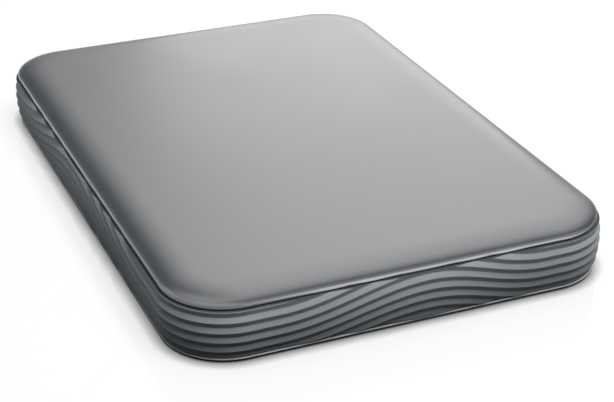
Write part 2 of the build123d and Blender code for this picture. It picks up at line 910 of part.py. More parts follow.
def make_port_contacts():
    """A row of gold contacts under each tongue."""
    front = port_front()
    back = front - port_depth + port_insert_back
    below = -(port_tongue_thickness + port_contact_thickness) / 2
    strips = []
    for tongue in port_tongues():
        box = tongue.bounding_box()
        for index in range(port_contact_count):
            x = box.min.X + (index + 0.5) * box.size.X / port_contact_count
            strip = Pos(x, below) * Rectangle(port_contact_width, port_contact_thickness)
            strips.append(port_bar(strip, back, front - port_tongue_short))
    return together(strips)


def make_status_light():
    """The small light on the bridge board."""
    y = bridge_rear - light_size[1]
    return block_at((light_pipe_center, y), light_size, bridge_top)


def make_light_pipe():
    """The clear bar that carries the light out through the back wall."""
    return light_pipe_bar(bridge_rear - light_size[1] / 2 + light_gap, case_length / 2 + light_gap)


pieces = {
    "top_cover": make_top_cover(),
    "base_tray": make_base_tray(),
    "bumper_front_left": make_bumper(-1, -1),
    "bumper_front_right": make_bumper(1, -1),
    "bumper_rear_left": make_bumper(-1, 1),
    "bumper_rear_right": make_bumper(1, 1),
    "light_pipe": make_light_pipe(),
    "status_light": make_status_light(),
    "bridge_board": make_bridge_board(),
    "bridge_chips": make_bridge_chips(),
    "port_shell": make_port_shell(),
    "port_insert": make_port_insert(),
    "port_contacts": make_port_contacts(),
    "drive_socket": make_drive_socket(),
    "drive_base": make_drive_base(),
    "drive_lid": make_drive_lid(),
    "drive_board": make_drive_board(),
    "drive_board_chips": make_drive_board_chips(),
    "drive_plug": make_drive_plug(),
    "plug_contacts": make_plug_contacts(),
    "spindle_motor": make_spindle_motor(),
    "spindle_hub": make_spindle_hub(),
    "platter": make_platter(),
    "disc_clamp": make_disc_clamp(),
    "arm_block": make_arm_block(),
    "voice_coil": make_voice_coil(),
    "head_springs": make_head_springs(),
    "head_sliders": make_head_sliders(),
    "pivot_post": make_pivot_post(),
    "lower_yoke": make_lower_yoke(),
    "upper_yoke": make_upper_yoke(),
    "lower_magnet": make_magnet(lower_magnet_bottom, lower_magnet_top),
    "upper_magnet": make_magnet(upper_magnet_bottom, upper_magnet_top),
    "crash_stops": make_crash_stops(),
    "load_ramp": make_load_ramp(),
    "flex_bracket": make_flex_bracket(),
    "air_filter": make_air_filter(),
}

os.makedirs("parts", exist_ok=True)
for name, shape in pieces.items():
    export_step(shape, f"parts/{name}.step")
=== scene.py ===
import json
import math

import bmesh
import bpy
from mathutils import Matrix, Vector


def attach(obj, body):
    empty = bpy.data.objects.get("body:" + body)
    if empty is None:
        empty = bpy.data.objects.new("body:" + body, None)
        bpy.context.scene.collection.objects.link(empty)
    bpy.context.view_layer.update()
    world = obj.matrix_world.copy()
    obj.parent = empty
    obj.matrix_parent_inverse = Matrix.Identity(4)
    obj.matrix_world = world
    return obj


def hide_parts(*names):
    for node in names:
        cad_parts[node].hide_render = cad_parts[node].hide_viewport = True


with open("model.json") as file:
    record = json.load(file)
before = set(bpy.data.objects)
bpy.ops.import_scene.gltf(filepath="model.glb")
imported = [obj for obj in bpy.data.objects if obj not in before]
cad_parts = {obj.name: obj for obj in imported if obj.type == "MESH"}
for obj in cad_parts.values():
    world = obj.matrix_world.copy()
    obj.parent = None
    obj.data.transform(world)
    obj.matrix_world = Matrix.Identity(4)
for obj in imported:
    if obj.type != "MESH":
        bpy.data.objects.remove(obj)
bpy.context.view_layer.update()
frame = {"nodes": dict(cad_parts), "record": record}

# Sizes in millimetres, the same ones the solids are built from. MM turns them into metres.
MM = 0.001
CASE_WIDTH = 80.0
CASE_LENGTH = 115.0
CASE_HEIGHT = 11.8
CORNER_RADIUS = 11.2
SEAM_HEIGHT = 9.6
RIM_HEIGHT = 9.85
SEAM_DEPTH = 0.7
SIDE_WALL = 2.1
FLOOR_WALL = 1.2
COVER_UNDER = 10.6
COVER_UPRIGHT = 0.45
SHOULDER_RADIUS = 0.9
SHOULDER_TURN = 75.0
BAND_BULGE = 0.6
BAND_BULGE_HEIGHT = 6.0
BAND_TUCK = 0.3
FOOT_HEIGHT = 0.75
FOOT_STEP = 0.08
FOOT_CHAMFER = 0.35
RIB_PITCH = 1.8
RIB_DEPTH = 0.38
RIB_CREST_HEIGHT = 7.7

# Waves of the ribs, as in the solids: the rise, then start, crest and end as shares of half a
# straight side.
SHORT_WAVE = (4.1, (-0.82, 0.10, 0.87))
LONG_WAVE = (7.0, (-0.95, -0.085, 0.80))

# Openings in the rear wall, where the solids have them: the port's window and the light pipe's
# hole, and the stretch along Y over which both are cut.
PORT_WINDOW_SIZE = (12.8, 3.45)
PORT_WINDOW_CORNER = 1.1
PORT_WINDOW_MIDDLE = (0.0, 4.225)
LIGHT_HOLE_X = (10.1, 11.9)
LIGHT_HOLE_Z = (3.1, 4.3)
REAR_CUT_Y = (54.0, 62.0)

# Small forms that only the scene has, in millimetres: softened edges and a groove above the foot.
RIB_EDGE = 0.07
LIP_EDGE = 0.1
LIP_EDGE_SHARE = 0.3
FOOT_EDGE = 0.15
FOOT_GROOVE = 0.25
FOOT_SOFTENING = 0.03

# The shoulder is one soft curve. Its handles and its end are shares of its height and reach.
SHOULDER_RISE_HANDLE = 0.62
SHOULDER_CROWN_HANDLE = 0.36
SHOULDER_END = 1.14

# How finely the outside is drawn, and the angles in degrees above which edges stay sharp.
STRAIGHT_STEP = 0.5
CORNER_STEPS = 28
SHOULDER_STEPS = 40
WINDOW_CORNER_STEPS = 8
MERGE_DISTANCE = 0.002
COVER_SHARP_ANGLE = 40
BAND_SHARP_ANGLE = 28

# Relief of the two finishes: strength, and height in millimetres.
GRAIN_RELIEF = (0.1, 0.01)
BRUSHED_RELIEF = (0.05, 0.005)

# Painted light and shade on the band plastic, as factors on its colour: painted shade towards the
# foot, painted light towards the seam, painted shade in the groove and on the ledge under the seam,
# a painted highlight on the foot's edge; and the short heights where they set in.
BAND_FOOT_PAINTED_SHADE = 0.6
BAND_SEAM_PAINTED_LIGHT = 1.3
GROOVE_PAINTED_SHADE = 0.25
LEDGE_PAINTED_SHADE = 0.04
FOOT_EDGE_PAINTED_HIGHLIGHT = 1.5
GROOVE_FADE = 0.03
LEDGE_FADE_BELOW = 0.03
LEDGE_FADE_ABOVE = 0.006
FOOT_EDGE_FADE_BELOW = 0.02
FOOT_EDGE_FADE_ABOVE = 0.01

# Floor: its slab in millimetres, its paper tones, what it throws back on the case, and the share
# of its brightness that the eye sees without a lamp.
FLOOR_REACH = 4000.0
FLOOR_BOTTOM = -20.0
FLOOR_TOP = -0.05
PAPER_TONES = (0.92, 0.96)
FLOOR_BOUNCE = 0.03
FLOOR_GLOW = 0.78
FLOOR_ROUGHNESS = 0.12
FLOOR_SPECULAR = 0.5

# Painted shadow on the floor beside the case, from an occlusion lookup in its material: how far it
# reaches in millimetres, and how deep it is.
CONTACT_REACH = 2.4
CONTACT_DEPTH = 1.15
TAIL_REACH = 7.0
TAIL_DEPTH = 0.1
SHADE_SAMPLES = 16

# What gloss mirrors of the floor: full near one line along Y, dimmed farther away from it, with
# distances in millimetres. Front and back are a place along Y and the level it is dimmed to there.
MIRROR_LINE_X = 18.0
MIRROR_FULL_WITHIN = 25.0
MIRROR_DIM_BEYOND = 42.0
MIRROR_FRONT = (-30.0, 0.1)
MIRROR_BACK = (50.0, 0.6)

# Room light by direction: soft light that falls on the case, and light that its gloss mirrors.
# A patch has a colour and its leans: a direction, and the leans to it where it begins and is full.
WHITE = (1.0, 1.0, 1.0, 1.0)
SOFT_AROUND = (0.034, 0.037, 0.039)
SOFT_PATCHES = {
    "left": ((0.22, 0.227, 0.232), [((-0.75, 0.65, 0.0), -0.6, 0.7)]),
    "back right": ((0.75, 0.755, 0.76), [((0.64, 0.76, 0.12), 0.3, 0.9)]),
}
RIGHT_PANEL_LEANS = [
    ((1.0, 0.0, 0.0), 0.03, 0.36),
    ((0.0, 1.0, 0.0), -0.5, 0.85),
    ((-1.0, 0.0, 0.0), -0.9, -0.5),
]
GLOSS_AROUND = (0.066, 0.077, 0.085)
GLOSS_PATCHES = {
    "right panel": ((0.68, 0.68, 0.685), RIGHT_PANEL_LEANS),
    "back left": ((0.48, 0.49, 0.498), [((-0.75, 0.5, 0.43), 0.89, 0.98)]),
    "above left": ((0.40, 0.41, 0.418), [((-0.15, 0.25, 0.956), 0.87, 0.98)]),
    "front left": ((0.45, 0.46, 0.468), [((-0.56, -0.68, 0.47), 0.45, 0.85)]),
    "front right": ((0.40, 0.405, 0.41), [((0.70, -0.66, 0.28), 0.84, 0.97)]),
    "low": ((0.25, 0.257, 0.263), [((0.0, 0.0, -1.0), -0.42, 0.05)]),
}

# Camera, fitted to the outline in the photo: angles in degrees, lengths in millimetres, the focal
# length in pixels of the photo. The case lies this far right of the camera's axis and above it.
CAMERA_AZIMUTH = -22.972
CAMERA_ELEVATION = 27.071
CAMERA_ROLL = 0.147
CAMERA_DISTANCE = 310.0
CASE_RIGHT_OF_AXIS = -4.9925
CASE_ABOVE_AXIS = 3.7159
FOCAL_PIXELS = 1581.49
PHOTO_WIDTH_PIXELS = 614
SENSOR_WIDTH = 36.0
CLIP_START = 10.0
CLIP_END = 50000.0


# Form of the case.
def case_stations():
    """Points round the case: place on the cover's outline, outward direction and rib rise there."""
    stations = []
    for outward in ((0, -1), (1, 0), (0, 1), (-1, 0)):
        travel = (-outward[1], outward[0])
        short = outward[0] == 0
        across = (CASE_LENGTH if short else CASE_WIDTH) / 2
        half_run = (CASE_WIDTH if short else CASE_LENGTH) / 2 - CORNER_RADIUS
        rise, span = SHORT_WAVE if short else LONG_WAVE
        steps = round(2 * half_run / STRAIGHT_STEP)
        for step in range(steps):
            along = half_run * (2 * step / steps - 1)
            x = outward[0] * across + travel[0] * along
            y = outward[1] * across + travel[1] * along
            stations.append((x, y, outward, wave_rise(along, half_run, rise, span)))
        for step in range(CORNER_STEPS):
            turn = math.pi / 2 * step / CORNER_STEPS
            out = [math.cos(turn) * outward[i] + math.sin(turn) * travel[i] for i in (0, 1)]
            middle = [outward[i] * (across - CORNER_RADIUS) + travel[i] * half_run for i in (0, 1)]
            x, y = (middle[i] + CORNER_RADIUS * out[i] for i in (0, 1))
            stations.append((x, y, out, 0.0))
    return stations


def wave_rise(along, half_run, rise, span):
    """How far the ribs have climbed at a place along a side."""
    start, crest, end = (share * half_run for share in span)
    flank = end - crest if along > crest else crest - start
    share = min(1.0, abs(along - crest) / flank)
    return rise * (1 + math.cos(math.pi * share)) / 2


def band_offset(z):
    """How far the side band stands out past the cover at a height."""
    drop = (z - BAND_BULGE_HEIGHT) / BAND_BULGE_HEIGHT
    return BAND_BULGE - (BAND_BULGE + BAND_TUCK) * drop**2


def rib_offset(z, lift):
    """The same with the ribs on it: straight facets between crests and valleys, edges just broken."""
    half_pitch = RIB_PITCH / 2
    turns = (z - lift - RIB_CREST_HEIGHT) / half_pitch
    low = math.floor(turns)
    ends = []
    for index in (low, low + 1):
        lean = RIB_DEPTH / 2 if index % 2 == 0 else -RIB_DEPTH / 2
        ends.append(band_offset(RIB_CREST_HEIGHT + index * half_pitch + lift) + lean)
    share = turns - low
    offset = ends[0] + (ends[1] - ends[0]) * share
    nearest = round(turns)
    gap = abs(turns - nearest) * half_pitch
    if gap < RIB_EDGE:
        slope = RIB_DEPTH / half_pitch
        soften = slope * (RIB_EDGE - gap) ** 2 / (2 * RIB_EDGE)
        offset += -soften if nearest % 2 == 0 else soften
    return offset


def rib_rows(stations):
    """Rings of points that run along every crest and valley, cut off level at foot and seam."""
    half_pitch = RIB_PITCH / 2
    highest_wave = max(SHORT_WAVE[0], LONG_WAVE[0])
    lowest = math.floor((FOOT_HEIGHT - highest_wave - RIB_CREST_HEIGHT) / half_pitch) - 1
    highest = math.ceil((SEAM_HEIGHT - RIB_CREST_HEIGHT) / half_pitch) + 1
    rows = []
    for index in range(lowest, highest + 1):
        for step in (-1.0, -0.5, 0.0, 0.5, 1.0):
            level = RIB_CREST_HEIGHT + index * half_pitch + step * RIB_EDGE
            ring = []
            for x, y, out, lift in stations:
                z = min(SEAM_HEIGHT, max(FOOT_HEIGHT + FOOT_GROOVE, level + lift))
                offset = rib_offset(z, lift)
                ring.append((x + out[0] * offset, y + out[1] * offset, z))
            rows.append(ring)
    return rows


def level_ring(stations, inset, z):
    """A ring at one height, drawn in from the cover's outline."""
    return [(x - out[0] * inset, y - out[1] * inset, z) for x, y, out, _ in stations]


def shoulder_curve():
    """Points up the cover's shoulder, as inset and height: a tight bend into a long flat crown."""
    turn = math.radians(SHOULDER_TURN)
    upright_top = RIM_HEIGHT + COVER_UPRIGHT
    height = CASE_HEIGHT - upright_top
    crown = (height - SHOULDER_RADIUS * math.sin(turn)) / (1 - math.sin(turn))
    reach = SHOULDER_RADIUS + (crown - SHOULDER_RADIUS) * math.cos(turn)
    pulls = (
        (0, 0),
        (0, SHOULDER_RISE_HANDLE * height),
        (SHOULDER_CROWN_HANDLE * reach, height),
        (SHOULDER_END * reach, height),
    )
    points = []
    for step in range(SHOULDER_STEPS + 1):
        t = step / SHOULDER_STEPS
        weights = ((1 - t) ** 3, 3 * t * (1 - t) ** 2, 3 * t * t * (1 - t), t**3)
        inset, up = (sum(w * p[i] for w, p in zip(weights, pulls)) for i in (0, 1))
        points.append((inset, upright_top + up))
    return points


# Building pieces.
def piece_from_rings(name, rings):
    """A closed mesh strung between rings of points, in millimetres, capped at both ends."""
    mesh = bmesh.new()
    rows = [[mesh.verts.new(Vector(point) * MM) for point in ring] for ring in rings]
    count = len(rows[0])
    for low, high in zip(rows, rows[1:]):
        for i in range(count):
            j = (i + 1) % count
            mesh.faces.new((low[i], low[j], high[j], high[i]))
    mesh.faces.new(list(reversed(rows[0])))
    mesh.faces.new(rows[-1])
    bmesh.ops.remove_doubles(mesh, verts=mesh.verts, dist=MERGE_DISTANCE * MM)
    bmesh.ops.dissolve_degenerate(mesh, edges=mesh.edges, dist=MERGE_DISTANCE * MM)
    bmesh.ops.recalc_face_normals(mesh, faces=mesh.faces)
    data = bpy.data.meshes.new(name)
    mesh.to_mesh(data)
    mesh.free()
    piece = bpy.data.objects.new(name, data)
    bpy.context.scene.collection.objects.link(piece)
    return piece


def smooth(piece, angle):
    """Smooth shading with the edges above an angle kept sharp, and flat faces kept flat."""
    piece.data.shade_smooth()
    piece.data.set_sharp_from_angle(angle=math.radians(angle))
    flat = piece.modifiers.new("flat faces", "WEIGHTED_NORMAL")
    flat.keep_sharp = True
    flat.weight = 100


def block(name, low, high):
    """A plain block between two corners, in millimetres."""
    (x0, y0, z0), (x1, y1, z1) = low, high
    foot = [(x0, y0, z0), (x1, y0, z0), (x1, y1, z0), (x0, y1, z0)]
    return piece_from_rings(name, [foot, [(x, y, z1) for x, y, _ in foot]])


def rounded_bar(name, size, corner, middle, span):
    """A bar along Y with a rounded outline, in millimetres."""
    half_width, half_height = (side / 2 - corner for side in size)
    outline = []
    for turn in range(4):
        diagonal = math.pi / 2 * (turn + 0.5)
        x = middle[0] + math.copysign(half_width, math.cos(diagonal))
        z = middle[1] + math.copysign(half_height, math.sin(diagonal))
        for step in range(WINDOW_CORNER_STEPS + 1):
            angle = math.pi / 2 * (turn + step / WINDOW_CORNER_STEPS)
            outline.append((x + corner * math.cos(angle), z + corner * math.sin(angle)))
    return piece_from_rings(name, [[(x, y, z) for x, z in outline] for y in span])


def cut_away(piece, cutters):
    """Cuts solids out of a piece and removes them."""
    for cutter in cutters:
        cut = piece.modifiers.new("cut", "BOOLEAN")
        cut.object = cutter
        cut.operation = "DIFFERENCE"
        cut.solver = "EXACT"
    graph = bpy.context.evaluated_depsgraph_get()
    data = bpy.data.meshes.new_from_object(piece.evaluated_get(graph))
    piece.modifiers.clear()
    piece.data = data
    for cutter in cutters:
        bpy.data.objects.remove(cutter)


def make_cover():
    """The cover: upright edge, soft shoulder and flat top, hollow below."""
    stations = case_stations()
    lip_middle = LIP_EDGE_SHARE * LIP_EDGE
    rings = [
        level_ring(stations, SIDE_WALL, COVER_UNDER),
        level_ring(stations, SIDE_WALL, RIM_HEIGHT),
        level_ring(stations, SEAM_DEPTH, RIM_HEIGHT),
        level_ring(stations, LIP_EDGE, RIM_HEIGHT),
        level_ring(stations, lip_middle, RIM_HEIGHT + lip_middle),
        level_ring(stations, 0.0, RIM_HEIGHT + LIP_EDGE),
    ]
    rings += [level_ring(stations, inset, z) for inset, z in shoulder_curve()]
    cover = piece_from_rings("cover", rings)
    smooth(cover, COVER_SHARP_ANGLE)
    return cover


def make_side_band():
    """The tray: foot, wave ribs, the ledge under the seam, the rim and the room inside."""
    stations = case_stations()
    foot_out = band_offset(FOOT_HEIGHT) + FOOT_STEP
    rings = [
        level_ring(stations, -foot_out + FOOT_CHAMFER, 0.0),
        level_ring(stations, -foot_out + FOOT_SOFTENING, FOOT_CHAMFER - 2 * FOOT_SOFTENING),
        level_ring(stations, -foot_out, FOOT_CHAMFER + FOOT_SOFTENING),
        level_ring(stations, -foot_out, FOOT_HEIGHT - FOOT_EDGE),
        level_ring(stations, -foot_out + FOOT_EDGE, FOOT_HEIGHT),
        level_ring(stations, -foot_out + FOOT_GROOVE, FOOT_HEIGHT),
        level_ring(stations, -foot_out + FOOT_GROOVE, FOOT_HEIGHT + FOOT_GROOVE),
    ]
    rings += rib_rows(stations)
    rings += [
        level_ring(stations, SEAM_DEPTH, SEAM_HEIGHT),
        level_ring(stations, SEAM_DEPTH, RIM_HEIGHT),
        level_ring(stations, SIDE_WALL, RIM_HEIGHT),
        level_ring(stations, SIDE_WALL, FLOOR_WALL),
    ]
    band = piece_from_rings("side_band", rings)
    window = rounded_bar("window", PORT_WINDOW_SIZE, PORT_WINDOW_CORNER, PORT_WINDOW_MIDDLE, REAR_CUT_Y)
    hole_low, hole_high = zip(LIGHT_HOLE_X, REAR_CUT_Y, LIGHT_HOLE_Z)
    light_hole = block("light hole", hole_low, hole_high)
    cut_away(band, [window, light_hole])
    smooth(band, BAND_SHARP_ANGLE)
    return band


# Nodes that the materials, the groups and the room share.
def feed(tree, source, socket):
    """Sets a socket to a plain value, or links it to what another node gives out."""
    if isinstance(source, bpy.types.NodeSocket):
        tree.links.new(source, socket)
    else:
        socket.default_value = source


def math_node(tree, operation, *sources):
    """One step of arithmetic on plain numbers or on what other nodes give out."""
    node = tree.nodes.new("ShaderNodeMath")
    node.operation = operation
    for source, socket in zip(sources, node.inputs):
        feed(tree, source, socket)
    return node.outputs[0]


def ramp_node(tree, value, low, high, interpolation="LINEAR"):
    """A level that follows a value from one end to the other, each end a value and a level."""
    ramp = tree.nodes.new("ShaderNodeMapRange")
    ramp.interpolation_type = interpolation
    tree.links.new(value, ramp.inputs["Value"])
    for end, (at_value, level) in (("Min", low), ("Max", high)):
        ramp.inputs["From " + end].default_value = at_value
        feed(tree, level, ramp.inputs["To " + end])
    return ramp.outputs[0]


def fade(tree, place, low, high):
    """The same along a place in the frame, with the ends in millimetres."""
    return ramp_node(tree, place, (low[0] * MM, low[1]), (high[0] * MM, high[1]))


def noise_node(tree, vector, scale, detail):
    """A noise texture on a vector."""
    noise = tree.nodes.new("ShaderNodeTexNoise")
    noise.inputs["Detail"].default_value = detail
    tree.links.new(vector, noise.inputs["Vector"])
    feed(tree, scale, noise.inputs["Scale"])
    return noise.outputs["Fac"]


def spread_node(tree, value, base, spread):
    """base + (value - 0.5) * spread, with the noise's middle at 0.5."""
    centred = math_node(tree, "SUBTRACT", value, 0.5)
    return math_node(tree, "MULTIPLY_ADD", centred, spread, base)


def tint_node(tree, colour, amount):
    """A colour made lighter or darker by a factor near one."""
    tint = tree.nodes.new("ShaderNodeVectorMath")
    tint.operation = "SCALE"
    tree.links.new(colour, tint.inputs[0])
    tree.links.new(amount, tint.inputs["Scale"])
    return tint.outputs[0]


def colour_mix(tree, factor, first, second):
    """A mix of two colours by a factor."""
    mix = tree.nodes.new("ShaderNodeMix")
    mix.data_type = "RGBA"
    tree.links.new(factor, mix.inputs["Factor"])
    feed(tree, first, mix.inputs["A"])
    feed(tree, second, mix.inputs["B"])
    return mix.outputs["Result"]


# Shared finishes: node groups that hand colours, roughness and heights to the materials.
def new_finish(name, inputs):
    """An empty finish with named sockets. Gives the tree, its input node and its output node."""
    tree = bpy.data.node_groups.new(name, "ShaderNodeTree")
    for label, kind, value in inputs:
        socket = tree.interface.new_socket(label, in_out="INPUT", socket_type=kind)
        socket.default_value = value
    tree.interface.new_socket("Colour", in_out="OUTPUT", socket_type="NodeSocketColor")
    for label in ("Roughness", "Height"):
        tree.interface.new_socket(label, in_out="OUTPUT", socket_type="NodeSocketFloat")
    return tree, tree.nodes.new("NodeGroupInput"), tree.nodes.new("NodeGroupOutput")


def hand_out(tree, given, result, pattern, contrast, height):
    """Fills a finish's outputs: colour and roughness that vary with a pattern, and a height."""
    shade = spread_node(tree, pattern, 1.0, contrast)
    rough = spread_node(tree, pattern, given.outputs["Roughness"], given.outputs["Roughness Spread"])
    tree.links.new(tint_node(tree, given.outputs["Colour"], shade), result.inputs["Colour"])
    tree.links.new(rough, result.inputs["Roughness"])
    tree.links.new(height, result.inputs["Height"])


def make_grain_group():
    """Fine surface grain: a colour with slight cloudiness, an uneven roughness and a grain height."""
    inputs = [
        ("Colour", "NodeSocketColor", (0.5, 0.5, 0.5, 1.0)),
        ("Cloudiness", "NodeSocketFloat", 0.06),
        ("Cloud Scale", "NodeSocketFloat", 60.0),
        ("Roughness", "NodeSocketFloat", 0.4),
        ("Roughness Spread", "NodeSocketFloat", 0.08),
        ("Grain Scale", "NodeSocketFloat", 6000.0),
    ]
    tree, given, result = new_finish("surface grain", inputs)
    place = tree.nodes.new("ShaderNodeTexCoord").outputs["Object"]
    clouds = noise_node(tree, place, given.outputs["Cloud Scale"], detail=4.0)
    grain = noise_node(tree, place, given.outputs["Grain Scale"], detail=2.0)
    hand_out(tree, given, result, clouds, given.outputs["Cloudiness"], grain)
    return tree


def make_brushed_group():
    """Fine parallel lines, as on rolled or turned metal: colour, roughness and line height."""
    inputs = [
        ("Colour", "NodeSocketColor", (0.6, 0.6, 0.6, 1.0)),
        ("Contrast", "NodeSocketFloat", 0.2),
        ("Roughness", "NodeSocketFloat", 0.3),
        ("Roughness Spread", "NodeSocketFloat", 0.15),
        ("Stretch", "NodeSocketVector", (40.0, 3000.0, 3000.0)),
    ]
    tree, given, result = new_finish("brushed lines", inputs)
    stretch = tree.nodes.new("ShaderNodeVectorMath")
    stretch.operation = "MULTIPLY"
    tree.links.new(tree.nodes.new("ShaderNodeTexCoord").outputs["Object"], stretch.inputs[0])
    tree.links.new(given.outputs["Stretch"], stretch.inputs[1])
    lines = noise_node(tree, stretch.outputs[0], scale=1.0, detail=3.0)
    hand_out(tree, given, result, lines, given.outputs["Contrast"], lines)
    return tree


GRAIN = make_grain_group()
BRUSHED = make_brushed_group()


# Materials.
def new_material(name):
    """A material with a cleared tree: gives the material and its surface shader."""
    material = bpy.data.materials.new(name)
    material.use_nodes = True
    nodes = material.node_tree.nodes
    nodes.clear()
    surface = nodes.new("ShaderNodeBsdfPrincipled")
    output = nodes.new("ShaderNodeOutputMaterial")
    material.node_tree.links.new(surface.outputs[0], output.inputs["Surface"])
    return material, surface


def shaded_by(name, group, settings, metallic, relief):
    """A material whose colour, roughness and fine relief come from a shared group."""
    material, surface = new_material(name)
    tree = material.node_tree
    shade = tree.nodes.new("ShaderNodeGroup")
    shade.node_tree = group
    for label, value in settings.items():
        shade.inputs[label].default_value = (*value, 1.0) if label == "Colour" else value
    strength, height = relief
    bump = tree.nodes.new("ShaderNodeBump")
    bump.inputs["Strength"].default_value = strength
    bump.inputs["Distance"].default_value = height * MM
    tree.links.new(shade.outputs["Height"], bump.inputs["Height"])
    tree.links.new(shade.outputs["Colour"], surface.inputs["Base Color"])
    tree.links.new(shade.outputs["Roughness"], surface.inputs["Roughness"])
    tree.links.new(bump.outputs["Normal"], surface.inputs["Normal"])
    surface.inputs["Metallic"].default_value = metallic
    return material, surface


def grained(name, colour, roughness, metallic=0.0, cloud=0.06, grain=6000.0, specular=0.5):
    """A moulded, painted or cast surface."""
    settings = {"Colour": colour, "Roughness": roughness, "Cloudiness": cloud, "Grain Scale": grain}
    material, surface = shaded_by(name, GRAIN, settings, metallic, GRAIN_RELIEF)
    surface.inputs["Specular IOR Level"].default_value = specular
    return material, surface


def brushed(name, colour, roughness, contrast=0.2):
    """A rolled, turned or machined metal surface."""
    settings = {"Colour": colour, "Roughness": roughness, "Contrast": contrast}
    return shaded_by(name, BRUSHED, settings, 1.0, BRUSHED_RELIEF)


def band_painted_light_and_shade(tree):
    """Painted light and shade on the band by height: darker to the foot and lighter to the seam,
    painted shade in groove and seam, a painted highlight on the foot edge.
    """
    place = tree.nodes.new("ShaderNodeSeparateXYZ")
    tree.links.new(tree.nodes.new("ShaderNodeTexCoord").outputs["Object"], place.inputs[0])
    height = place.outputs["Z"]
    groove_top = FOOT_HEIGHT + FOOT_GROOVE
    edge_low = FOOT_HEIGHT - FOOT_EDGE
    ledge_low = SEAM_HEIGHT - LEDGE_FADE_BELOW
    ledge_high = SEAM_HEIGHT + LEDGE_FADE_ABOVE
    # Painted shade and light: the band darker towards the foot and lighter towards the seam, as light
    # from above falls.
    painted_height_shade = fade(tree, height, (groove_top, BAND_FOOT_PAINTED_SHADE), (SEAM_HEIGHT, BAND_SEAM_PAINTED_LIGHT))
    # Painted shade in the groove above the foot.
    groove = fade(tree, height, (groove_top - GROOVE_FADE, GROOVE_PAINTED_SHADE), (groove_top, 1.0))
    # Painted shade on the ledge under the seam: a dark line where the seam lies in shade.
    ledge = fade(tree, height, (ledge_low, 1.0), (ledge_high, LEDGE_PAINTED_SHADE))
    shade = math_node(tree, "MULTIPLY", math_node(tree, "MULTIPLY", painted_height_shade, groove), ledge)
    # Painted highlight along the foot's edge.
    painted_edge_highlight = fade(tree, height, (edge_low - FOOT_EDGE_FADE_BELOW, 0.0), (edge_low, FOOT_EDGE_PAINTED_HIGHLIGHT))
    edge_end = fade(tree, height, (FOOT_HEIGHT, 1.0), (FOOT_HEIGHT + FOOT_EDGE_FADE_ABOVE, 0.0))
    return math_node(tree, "MULTIPLY_ADD", painted_edge_highlight, edge_end, shade)


def make_band_plastic():
    """Matt moulded plastic, with painted light and shade by its height on the band."""
    material, surface = grained("band plastic", (0.332, 0.358, 0.374), 0.6, specular=0.15)
    tree = material.node_tree
    colour = surface.inputs["Base Color"].links[0].from_socket
    # The band's colour is multiplied by its painted light and shade.
    tree.links.new(tint_node(tree, colour, band_painted_light_and_shade(tree)), surface.inputs["Base Color"])
    return material, surface


def make_light_pipe_clear():
    """Clear moulded plastic, half cloudy."""
    material, surface = grained("light pipe", (0.88, 0.91, 0.93), 0.22)
    surface.inputs["Transmission Weight"].default_value = 0.45
    surface.inputs["IOR"].default_value = 1.49
    return material, surface


def make_materials():
    """One material for every slot of the record, each with its name, colour and roughness."""
    made = {
        "cover_paint": grained("cover paint", (0.52, 0.525, 0.535), 0.29, metallic=0.95, cloud=0.02),
        "band_plastic": make_band_plastic(),
        "bumper_rubber": grained("bumper rubber", (0.03, 0.03, 0.032), 0.75),
        "light_pipe_clear": make_light_pipe_clear(),
        "light_lens": grained("light lens", (0.85, 0.83, 0.7), 0.3),
        "board_laminate": grained("board lacquer", (0.01, 0.09, 0.04), 0.3, cloud=0.3),
        "chip_resin": grained("chip resin", (0.02, 0.02, 0.022), 0.55),
        "port_steel": brushed("port steel", (0.6, 0.6, 0.6), 0.28),
        "connector_plastic": grained("connector plastic", (0.02, 0.02, 0.02), 0.5),
        "contact_gold": brushed("contact gold", (0.83, 0.58, 0.22), 0.25),
        "housing_casting": grained("housing casting", (0.6, 0.61, 0.62), 0.5, metallic=1.0, cloud=0.15),
        "lid_steel": brushed("lid steel", (0.62, 0.63, 0.64), 0.3),
        "motor_steel": brushed("motor steel", (0.42, 0.42, 0.43), 0.35),
        "motor_aluminium": brushed("motor aluminium", (0.72, 0.72, 0.73), 0.3),
        "winding_copper": brushed("winding copper", (0.72, 0.33, 0.15), 0.35, contrast=0.5),
        "magnet_plating": grained("magnet plating", (0.6, 0.6, 0.61), 0.2, metallic=1.0),
        "disc_mirror": grained("disc mirror", (0.82, 0.83, 0.85), 0.06, metallic=1.0, cloud=0.01),
        "arm_aluminium": brushed("arm aluminium", (0.68, 0.68, 0.69), 0.35),
        "spring_steel": brushed("spring steel", (0.58, 0.57, 0.55), 0.3),
        "slider_ceramic": grained("slider ceramic", (0.05, 0.05, 0.055), 0.25),
        "ramp_plastic": grained("ramp plastic", (0.72, 0.66, 0.5), 0.45),
        "filter_cloth": grained("filter cloth", (0.8, 0.8, 0.78), 0.9, cloud=0.25, grain=3000.0),
    }
    return {slot: material for slot, (material, _) in made.items()}


def dress(piece, slot, materials):
    """Gives a piece the material of its slot."""
    piece.data.materials.clear()
    piece.data.materials.append(materials[slot])


# Studio.
def painted_contact_shadow(tree, reach, depth):
    """A painted soft shadow on the floor, from an occlusion lookup, that fades out at a reach from the
    case.
    """
    contact = tree.nodes.new("ShaderNodeAmbientOcclusion")
    contact.samples = SHADE_SAMPLES
    contact.inputs["Distance"].default_value = reach * MM
    return math_node(tree, "POWER", contact.outputs["AO"], depth)


def mirrored_floor(tree, place):
    """How bright gloss mirrors the floor: full along one line, dimmed away from it."""
    across = tree.nodes.new("ShaderNodeSeparateXYZ")
    tree.links.new(place, across.inputs[0])
    dimmed = fade(tree, across.outputs["Y"], MIRROR_FRONT, MIRROR_BACK)
    offset = math_node(tree, "SUBTRACT", across.outputs["X"], MIRROR_LINE_X * MM)
    away = math_node(tree, "ABSOLUTE", offset)
    return fade(tree, away, (MIRROR_DIM_BEYOND, dimmed), (MIRROR_FULL_WITHIN, 1.0))


